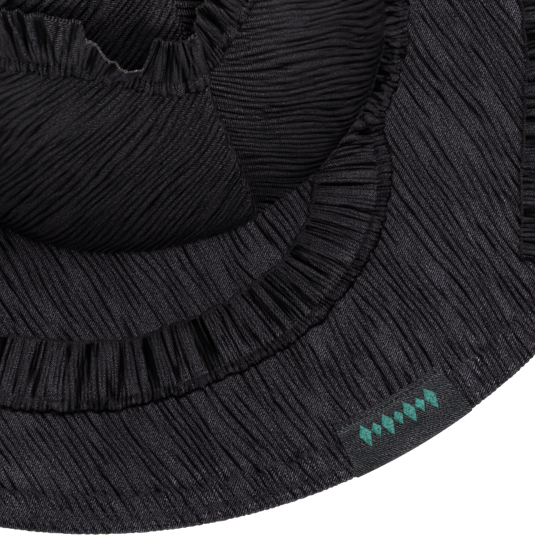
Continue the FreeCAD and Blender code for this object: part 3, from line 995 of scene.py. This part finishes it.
def label():
    """Woven tape folded over the hem, its inner edge turned under and stitched down."""
    turns = np.radians(np.linspace(90, -50, 15))
    reach = HEM_TUBE_RADIUS + LABEL_GAP
    flap = np.arange(BRIM_RADIUS - LABEL_DEPTH, HEM_RING_RADIUS - 1.2, 0.45)
    radius = np.concatenate([flap, HEM_RING_RADIUS + reach * np.cos(turns)])
    rolled = np.concatenate([np.full(len(flap), BRIM_TOP), HEM_TUBE_RADIUS + reach * np.sin(turns)])
    lengths = np.concatenate([[0], np.cumsum(np.hypot(np.diff(radius), np.diff(rolled)))])
    azimuth = np.degrees(np.linspace(-LABEL_SWEEP / 2, LABEL_SWEEP / 2, 126))
    side = (azimuth / azimuth[-1])[:, None] * LABEL_LENGTH / 2
    wavy = 0.35 * EDGE_FIELD(side / 5 + 9, 0) * smooth_step(6, 0, lengths)
    points = outward(azimuth)[:, None, :] * (radius + wavy)[..., None]
    on_brim = np.arange(len(radius)) < len(flap)
    points[..., 2] = np.where(on_brim, label_height(points[..., 0], points[..., 1]), rolled)
    turned_edge = 0.7 * bell(lengths, 1.6, 2.4)
    side_edge = 0.30 * bell(np.abs(side), LABEL_LENGTH / 2 - 0.9, 1.3)
    stitch = 0.30 * bell(lengths - 2.6, 0, 0.5) * (np.abs(np.sin(side * math.pi / 2.4)) > 0.35)
    points[..., 2] = points[..., 2] + (turned_edge + side_edge - stitch) * on_brim
    # Painted highlight: a lighter band near the turned inner edge stands in for sheen. Painted shade in the
    # stitch dents. The slow field is tone that differs at random.
    shade = 0.66 + 0.34 * bell(lengths, 4.2, 3.4) + 0.14 * FOLD_FIELD(side / 7, lengths / 5)
    shade = shade - 0.6 * (stitch > 0.05)
    uv = np.stack(np.broadcast_arrays(side, lengths[None, :]), axis=-1)
    faces = [face[::-1] for face in grid_faces(len(azimuth), len(radius))]
    piece = mesh_piece("woven_label", points, faces, uv, LABEL_CLOTH, ridge=shade)
    thick = piece.modifiers.new("tape thickness", "SOLIDIFY")
    thick.thickness = LABEL_THICKNESS * MM
    thick.offset = -1
    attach(piece, "crown")
    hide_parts("edge_label")


def satin_diamond(along, depth, half_length, half_depth, random):
    """Points, faces and uv of one diamond of satin stitch, its threads side by side along its length."""
    rows = int(2 * half_depth / THREAD) * 4
    step = np.linspace(-half_depth, half_depth, rows + 1)
    uneven = 1 + 0.05 * random.uniform(-1, 1, rows // 4 + 2)[np.arange(rows + 1) // 4]
    half_width = np.maximum(half_length * (1 - np.abs(step) / half_depth) * uneven, 0.12)
    u = np.linspace(-1, 1, 11)
    side = along + half_width[:, None] * u[None, :]
    inward = np.broadcast_to(depth + step[:, None], side.shape)
    radius = BRIM_RADIUS - inward
    place = outward(np.degrees(side / (BRIM_RADIUS - depth))) * radius[..., None]
    thread = 0.5 + 0.5 * np.cos(2 * math.pi * np.arange(rows + 1) / 4)
    crown = (1 - np.abs(u) ** 3)[None, :]
    height = label_height(place[..., 0], place[..., 1]) + 0.05
    place[..., 2] = height + MOTIF_HEIGHT * crown * (0.55 + 0.45 * thread[:, None])
    uv = np.stack([side, inward], axis=-1)
    return place.reshape(-1, 3), grid_faces(rows + 1, len(u)), uv.reshape(-1, 2)


def label_motif():
    """Row of stitched diamonds, tall and short in turn."""
    random = np.random.default_rng(3)
    points, faces, uv, count = [], [], [], 0
    for i in range(MOTIF_COUNT):
        half_length, half_depth = MOTIF_TALL if i % 2 == 0 else MOTIF_SHORT
        along = (i - (MOTIF_COUNT - 1) / 2) * MOTIF_PITCH
        place, cells, flat = satin_diamond(along, LABEL_DEPTH / 2 + 1, half_length, half_depth, random)
        points.append(place)
        uv.append(flat)
        faces += [[corner + count for corner in cell[::-1]] for cell in cells]
        count += len(place)
    piece = mesh_piece("label_motif", np.concatenate(points), faces, np.concatenate(uv), TEAL_THREAD)
    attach(piece, "crown")
    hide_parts("label_embroidery")


label()
label_motif()

# ---- finishes of the CAD's own pieces


def finish_node(name, material):
    node = bpy.data.objects[name]
    node.data.materials.clear()
    node.data.materials.append(material)


for felt_node in ("brim_stiffener", "cone_lower_stiffener", "cone_upper_stiffener"):
    finish_node(felt_node, FELT)
finish_node("brim_edge_wire", WIRE_STEEL)
finish_node("wire_joining_sleeve", TUBE_BRASS)

# ---- studio

CAMERA_AZIMUTH = math.radians(-14.0)
CAMERA_ELEVATION = math.radians(60.5)
CAMERA_ROLL = math.radians(-18.05)
CAMERA_DISTANCE = 4.0
# In metres: the width in view at the brim, and the aim from the centre of the brim's top.
VIEW_WIDTH = 0.2045
AIM_RIGHT = 0.0494
AIM_DOWN = 0.0894
FLOOR_HALF = 3.0


def camera():
    """Long lens above and behind the hat, aimed at the brim beside the back seam."""
    a, e = CAMERA_AZIMUTH, CAMERA_ELEVATION
    back = Vector((math.cos(e) * math.sin(a), -math.cos(e) * math.cos(a), math.sin(e)))
    level = Vector((math.cos(a), math.sin(a), 0))
    rising = back.cross(level)
    right = level * math.cos(CAMERA_ROLL) + rising * math.sin(CAMERA_ROLL)
    up = back.cross(right)
    aim = Vector((0, 0, BRIM_TOP * MM)) + right * AIM_RIGHT - up * AIM_DOWN
    data = bpy.data.cameras.new("camera")
    data.sensor_width = 36
    data.lens = data.sensor_width * CAMERA_DISTANCE / VIEW_WIDTH
    data.clip_start, data.clip_end = 0.05, 100
    camera_object = bpy.data.objects.new("camera", data)
    turn = Matrix((right, up, back)).transposed().to_4x4()
    camera_object.matrix_world = Matrix.Translation(aim + back * CAMERA_DISTANCE) @ turn
    bpy.context.collection.objects.link(camera_object)
    bpy.context.scene.camera = camera_object


def area_light(name, position, size, power):
    """Soft round light aimed at the hat."""
    data = bpy.data.lights.new(name, "AREA")
    data.shape = "DISK"
    data.size = size
    data.energy = power
    light = bpy.data.objects.new(name, data)
    light.location = position
    aim = Vector((0, 0, 0.05)) - Vector(position)
    light.rotation_euler = aim.to_track_quat("-Z", "Y").to_euler()
    light.visible_camera = False
    bpy.context.collection.objects.link(light)


def studio():
    """White floor and even surround, a large soft key on the camera's right, a fill and a small glint.

    The fill stands on the camera's left. The glint stands beyond the hat and picks out its crests.
    """
    material, tree, shader = node_material("white_paper", 0.9, specular=0.1)
    grain = add_node(tree, "ShaderNodeTexNoise", Scale=40.0, Detail=2.0)
    colour = ramp(tree, grain.outputs["Fac"], 0, 1, grey(0.93), grey(0.96))
    tree.links.new(colour, shader.inputs["Base Color"])
    shader.inputs["Emission Color"].default_value = (1, 1, 1, 1)
    shader.inputs["Emission Strength"].default_value = 1.0
    mesh = bpy.data.meshes.new("floor")
    corners = [(x * FLOOR_HALF, y * FLOOR_HALF, 0) for x, y in ((-1, -1), (1, -1), (1, 1), (-1, 1))]
    mesh.from_pydata(corners, [], [(0, 1, 2, 3)])
    mesh.materials.append(material)
    floor = bpy.data.objects.new("floor", mesh)
    floor.location = (0, 0, -0.0005)
    bpy.context.collection.objects.link(floor)
    world = bpy.data.worlds.new("studio")
    world.use_nodes = True
    world.node_tree.nodes["Background"].inputs["Color"].default_value = (1, 1, 1, 1)
    world.node_tree.nodes["Background"].inputs["Strength"].default_value = 0.14
    bpy.context.scene.world = world
    area_light("key", (0.70, -0.45, 1.60), 1.1, 26)
    area_light("fill", (-0.60, -0.60, 1.60), 1.1, 5.0)
    area_light("glint", (0.30, 0.80, 1.50), 0.4, 5)
    bpy.context.scene.view_settings.view_transform = "Standard"


camera()
studio()
